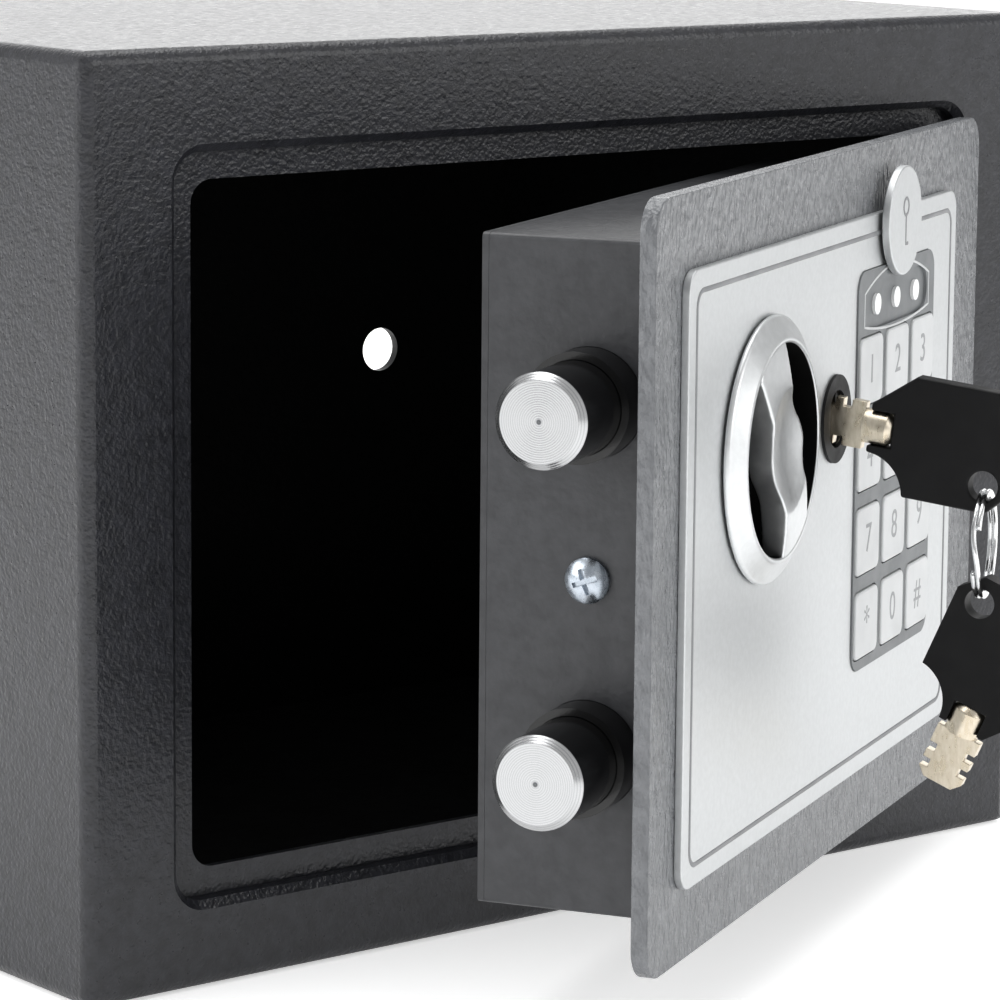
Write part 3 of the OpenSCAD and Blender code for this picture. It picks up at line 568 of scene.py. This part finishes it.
# One side of the S, as shares of the grip's radius. Its other side is the same line
# turned half round, and both run into the rim along an arc.
grip_side = smooth_line([grip_r * Vector(share) for share in (
    (-0.02, 1.02), (0.03, 0.7), (0.09, 0.5), (0.21, 0.36), (0.34, 0.24), (0.43, 0.08),
    (0.43, -0.13), (0.45, -0.26), (0.54, -0.42), (0.69, -0.72))])
arc_r = 1.02 * grip_r
arc_steps = 10
arc_start = math.atan2(grip_side[-1].y, grip_side[-1].x)
arc_end = math.atan2(-grip_side[0].y, -grip_side[0].x)
half = [(point.x, point.y) for point in grip_side]
for step in range(1, arc_steps):
    turn = arc_start + (arc_end - arc_start) * step / arc_steps
    half.append((arc_r * math.cos(turn), arc_r * math.sin(turn)))
grip_outline = half + [(-x, -y) for x, y in half]

# The slab is remeshed and smoothed to a casting's soft edges. Then its face is sunk:
# towards the rim until it is flush there, and in an oval dish in the middle.
grip = cut_slab("knob_grip_casting", grip_outline, panel_out - 0.0005, grip_top)
cast = grip.modifiers.new("cast", "REMESH")
cast.mode = "VOXEL"
cast.voxel_size = 0.00022
soften = grip.modifiers.new("soften", "SMOOTH")
soften.factor = 0.5
soften.iterations = 5
apply_modifiers(grip)
dish_turn = math.radians(12)
dish_length = 0.6 * grip_r
dish_w = 0.52 * grip_r
dish_depth = 0.0019
sunk_from = grip_top - 0.0035
sunk_over = 0.0032
for vertex in grip.data.vertices:
    x, y, rise = vertex.co
    reach = min(math.hypot(x, y) / grip_r, 1)
    along = (y * math.cos(dish_turn) - x * math.sin(dish_turn)) / dish_length
    across = (x * math.cos(dish_turn) + y * math.sin(dish_turn)) / dish_w
    dish = max(0, 1 - along * along - across * across)
    drop = (grip_top - rim_top) * reach ** 3 + dish_depth * dish ** 1.2
    vertex.co.z -= drop * max(0, min(1, (rise - sunk_from) / sunk_over))
grip.data.transform(knob_place)
grip.data.shade_smooth()
dress(grip, "knob", satin_chrome)
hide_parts("knob_grip")

# Below the casting the grip stands on a core, a little narrower all round, drawn black as painted shade under the
# casting's edge.
core_share = 0.97
core_outline = [(core_share * x, core_share * y) for x, y in grip_outline]
core = cut_slab("knob_grip_core", core_outline, grip_floor, panel_out - 0.0003)
core.data.transform(knob_place)
dress(core, "knob", knob_hollow_painted_shade)

# ---- Keypad ----
# A field of moulded grey ABS, set into the panel, with a printed window round three
# clear lights. The twelve buttons are ABS with silver paint, which is smooth and pale,
# and their numbers are printed in a grey that hardly stands out.
keypad_grey = grained_finish("moulded_grey_abs", "#6A6D6F", "#747779", 0.45, 0.55)
button_silver = grained_finish("silver_painted_abs", "#C2C4C5", "#CACCCD", 0.34, 0.44)
faint_ink = grained_finish("faint_grey_ink", "#8E9092", "#989A9C", 0.5, 0.6)
light_ink = grained_finish("light_grey_ink", "#C2C4C5", "#CDCFD0", 0.4, 0.5)
finish("indicator_lights", grained_finish("clear_acrylic_lens", "#F2F4F4", "#FAFAFA", 0.1, 0.2))
round_edges("keypad_bezel", keypad_grey, 0.0003, 2)
bezel_low, bezel_high = shut_box("keypad_bezel")
light_low, light_high = shut_box("indicator_lights")
window_half_w = 0.0205
window_side_top = 0.0026
window_arch = 0.0042
window_bottom = -0.0052
window_sag = 0.0016
window_steps = 24
upper_edge = []
lower_edge = []
for step in range(window_steps + 1):
    share = 2 * step / window_steps - 1
    upper_edge.append((share * window_half_w, window_side_top + window_arch * (1 - share ** 2)))
    lower_edge.append((-share * window_half_w, window_bottom + window_sag * share ** 2))
print_line(
    "light_window_line", upper_edge + lower_edge, 0.0005,
    face_place((bezel_low.x + bezel_high.x) / 2, (light_low.z + light_high.z) / 2,
               front_y - bezel_low.y),
    "door", light_ink)
signs = {"button_" + digit: digit for digit in "1234567890"}
signs.update({"button_left": "*", "button_right": "#"})
print_rise = 0.00001
for node, sign in signs.items():
    round_edges(node, button_silver, 0.0004, 3)
    low, high = shut_box(node)
    bpy.ops.object.select_all(action="DESELECT")
    bpy.ops.object.text_add()
    number = bpy.context.object
    number.name = node + "_number"
    number.data.body = sign
    number.data.size = 0.0078
    number.data.align_x = "CENTER"
    number.data.align_y = "CENTER"
    number.data.extrude = 0.00002
    bpy.ops.object.convert(target="MESH")
    number.data.transform(
        face_place((low.x + high.x) / 2, (low.z + high.z) / 2, front_y - low.y + print_rise))
    dress(number, body_of[node], faint_ink)

# ---- Lock ----
# A cam lock: a nickel plated brass cylinder, held by a nut behind the plate, with a
# brass plug drawn nearly black and a collar of moulded black ABS. With the steel
# cam on its end the key opens the safe when the cells are flat.
nickel_brass = metal_finish(
    "nickel_plated_brass", "#CBBFA9", "#E0D6C4", 0.24, 0.36, (1.1111, 1.1111, 3.3333), 0.00001)
finish("lock_bezel", black_plastic)
finish("lock_cylinder", nickel_brass)
finish("lock_nut", blue_zinc)
finish("lock_cam", blue_zinc)
finish("lock_plug", metal_finish(
    "darkened_brass", "#2B2A29", "#393735", 0.34, 0.5, (1.4286, 1.4286, 1.4286), 0.000004))

# ---- Keys ----
# Two keys, one in the lock and the spare on the ring. The blades are milled from
# nickel plated brass with crisp notches, and the handles are moulded over them.
for node in ("key_blade", "spare_key_blade"):
    round_edges(node, nickel_brass, 0.00018, 2, 40)
for node in ("key_handle", "spare_key_handle"):
    round_edges(node, black_plastic, 0.0009, 4, 40)

# ---- Key ring ----
# A split ring of flat-sided spring steel wire, bright chromed. It is wound nearly
# twice round, and the wire steps over from one turn to the other beside its ends.
bright_chrome = metal_finish(
    "bright_chrome", "#D6D7D8", "#E6E7E8", 0.08, 0.16, (1.4286, 1.4286, 1.4286), 0.000003)
ring_points = np.array([vertex.co for vertex in frame["nodes"]["key_ring"].data.vertices])
ring_centre = ring_points.mean(axis=0)
ring_axes = np.linalg.svd(ring_points - ring_centre, full_matrices=False)[2]
ring_reach = np.linalg.norm(ring_points - ring_centre, axis=1)
wire_half = (ring_reach.max() - ring_reach.min()) / 2
ring_r = ring_reach.max() - wire_half
ring_x = Vector(ring_axes[0]).normalized()
ring_n = Vector(ring_axes[2]).normalized()
ring_turn = Matrix((ring_x, ring_n.cross(ring_x), ring_n)).transposed().to_4x4()
ring_place = Matrix.Translation(ring_centre) @ ring_turn
turn_gap = 0.00003
half_step = wire_half / 2
wire_end = 0.07
wire_steps = 160
wire_path = bpy.data.curves.new("key_ring_wire", "CURVE")
wire_path.dimensions = "3D"
wire_path.twist_mode = "Z_UP"
wire_path.use_fill_caps = True
wire_line = wire_path.splines.new("POLY")
wire_line.points.add(wire_steps)
for step, point in enumerate(wire_line.points):
    turns = wire_end + (2 - 2 * wire_end) * step / wire_steps
    crossing = max(-1, min(1, (turns - 1) / wire_end))
    around = 2 * math.pi * turns
    rise = half_step * math.sin(math.pi / 2 * crossing)
    point.co = (ring_r * math.cos(around), ring_r * math.sin(around), rise, 1)


# The wire's section is a blunt oval, nearly flat where its two turns meet.
def blunt(share):
    return math.copysign(abs(share) ** 0.6, share)


section_corners = 12
section = bpy.data.curves.new("key_ring_section", "CURVE")
section_line = section.splines.new("POLY")
section_line.points.add(section_corners - 1)
section_line.use_cyclic_u = True
for corner, point in enumerate(section_line.points):
    angle = 2 * math.pi * corner / section_corners
    point.co = (0.82 * wire_half * blunt(math.cos(angle)),
                (half_step - turn_gap) * blunt(math.sin(angle)), 0, 1)
section_piece = bpy.data.objects.new("key_ring_section", section)
bpy.context.scene.collection.objects.link(section_piece)
wire_path.bevel_mode = "OBJECT"
wire_path.bevel_object = section_piece
split_ring = bpy.data.objects.new("key_ring_wire", wire_path)
bpy.context.scene.collection.objects.link(split_ring)
select_only(split_ring)
bpy.ops.object.convert(target="MESH")
bpy.ops.object.mode_set(mode="EDIT")
close_mesh()
bpy.data.objects.remove(section_piece)
split_ring.data.transform(ring_place)
split_ring.data.shade_smooth()
dress(split_ring, "key_ring", bright_chrome)
split_ring.modifiers.new("normals", "WEIGHTED_NORMAL")
apply_modifiers(split_ring)
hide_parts("key_ring")

# ---- Keyhole cap ----
# A disc of the panel's anodised aluminium, which covers the keyhole. Here it is pulled
# off and parked on the panel. A small plain sign of a key is printed on it.
round_edges("keyhole_cap", anodised_silver, 0.0003, 3)
cap_low, cap_high = shut_box("keyhole_cap")
cap_place = face_place(
    (cap_low.x + cap_high.x) / 2, (cap_low.z + cap_high.z) / 2, front_y - cap_low.y)
bow_r = 0.0016
bow_rise = 0.0026
bow_steps = 20
stem_foot = -0.0045
bit_length = 0.0014
sign_line_w = 0.0007
sign_bow = []
for step in range(bow_steps):
    turn = 2 * math.pi * step / bow_steps
    sign_bow.append((bow_r * math.cos(turn), bow_rise + bow_r * math.sin(turn)))
sign_stem = [(0, bow_rise - bow_r), (0, stem_foot), (bit_length, stem_foot)]
print_line(
    "cap_sign_ring", sign_bow, sign_line_w, cap_place, "keyhole_cap", grey_ink)
print_line(
    "cap_sign_stem", sign_stem, sign_line_w, cap_place, "keyhole_cap", grey_ink,
    closed=False)

# ---- Floor and lights ----
# A sheet of white paper on a table, lit softly from the left, from above, from behind
# and from the door's side. The camera sees the paper a little brighter than it lights.
bpy.ops.object.select_all(action="DESELECT")
bpy.ops.mesh.primitive_plane_add(size=6)
floor = bpy.context.object
floor.name = "floor"
paper, paper_tree, paper_shader = bare_surface("white_paper", "#FAFAFA", 0.7)
paper_shader.inputs["Emission Color"].default_value = colour("#FFFFFF")
seen = add_node(paper_tree, "LightPath", {}, {})
glow = add_node(
    paper_tree, "Math", {"operation": "MULTIPLY_ADD", 1: 0.22, 2: 0.3},
    {0: seen.outputs["Is Camera Ray"]})
paper_tree.links.new(glow.outputs["Value"], paper_shader.inputs["Emission Strength"])
floor.data.materials.append(paper)


def soft_light(name, place, target, width, height, power):
    lamp = bpy.data.lights.new(name, "AREA")
    lamp.shape = "RECTANGLE"
    lamp.size = width
    lamp.size_y = height
    lamp.energy = power
    light = bpy.data.objects.new(name, lamp)
    light.location = place
    aim = Vector(target) - Vector(place)
    light.rotation_euler = aim.to_track_quat("-Z", "Y").to_euler()
    bpy.context.scene.collection.objects.link(light)
    return light


soft_light("left_light", (-1.6, 0.5, 0.8), (-0.1, 0, 0.08), 1.2, 1.2, 14)
soft_light("top_light", (0.1, 0.2, 1.6), (0, 0, 0), 1.6, 1.4, 22)
rear_light = soft_light("rear_light", (1.5, 1.9, 0.75), (0, 0, 0.15), 2.6, 1.1, 16)
rear_light.visible_camera = False
soft_light("door_light", (0.9, -1.5, 0.7), (0.0, -0.1, 0.08), 1.0, 0.9, 7)
studio = bpy.data.worlds.new("studio")
studio.use_nodes = True
background = studio.node_tree.nodes["Background"]
background.inputs["Color"].default_value = colour("#FFFFFF")
background.inputs["Strength"].default_value = 0.55
bpy.context.scene.world = studio
bpy.context.scene.view_settings.view_transform = "Standard"
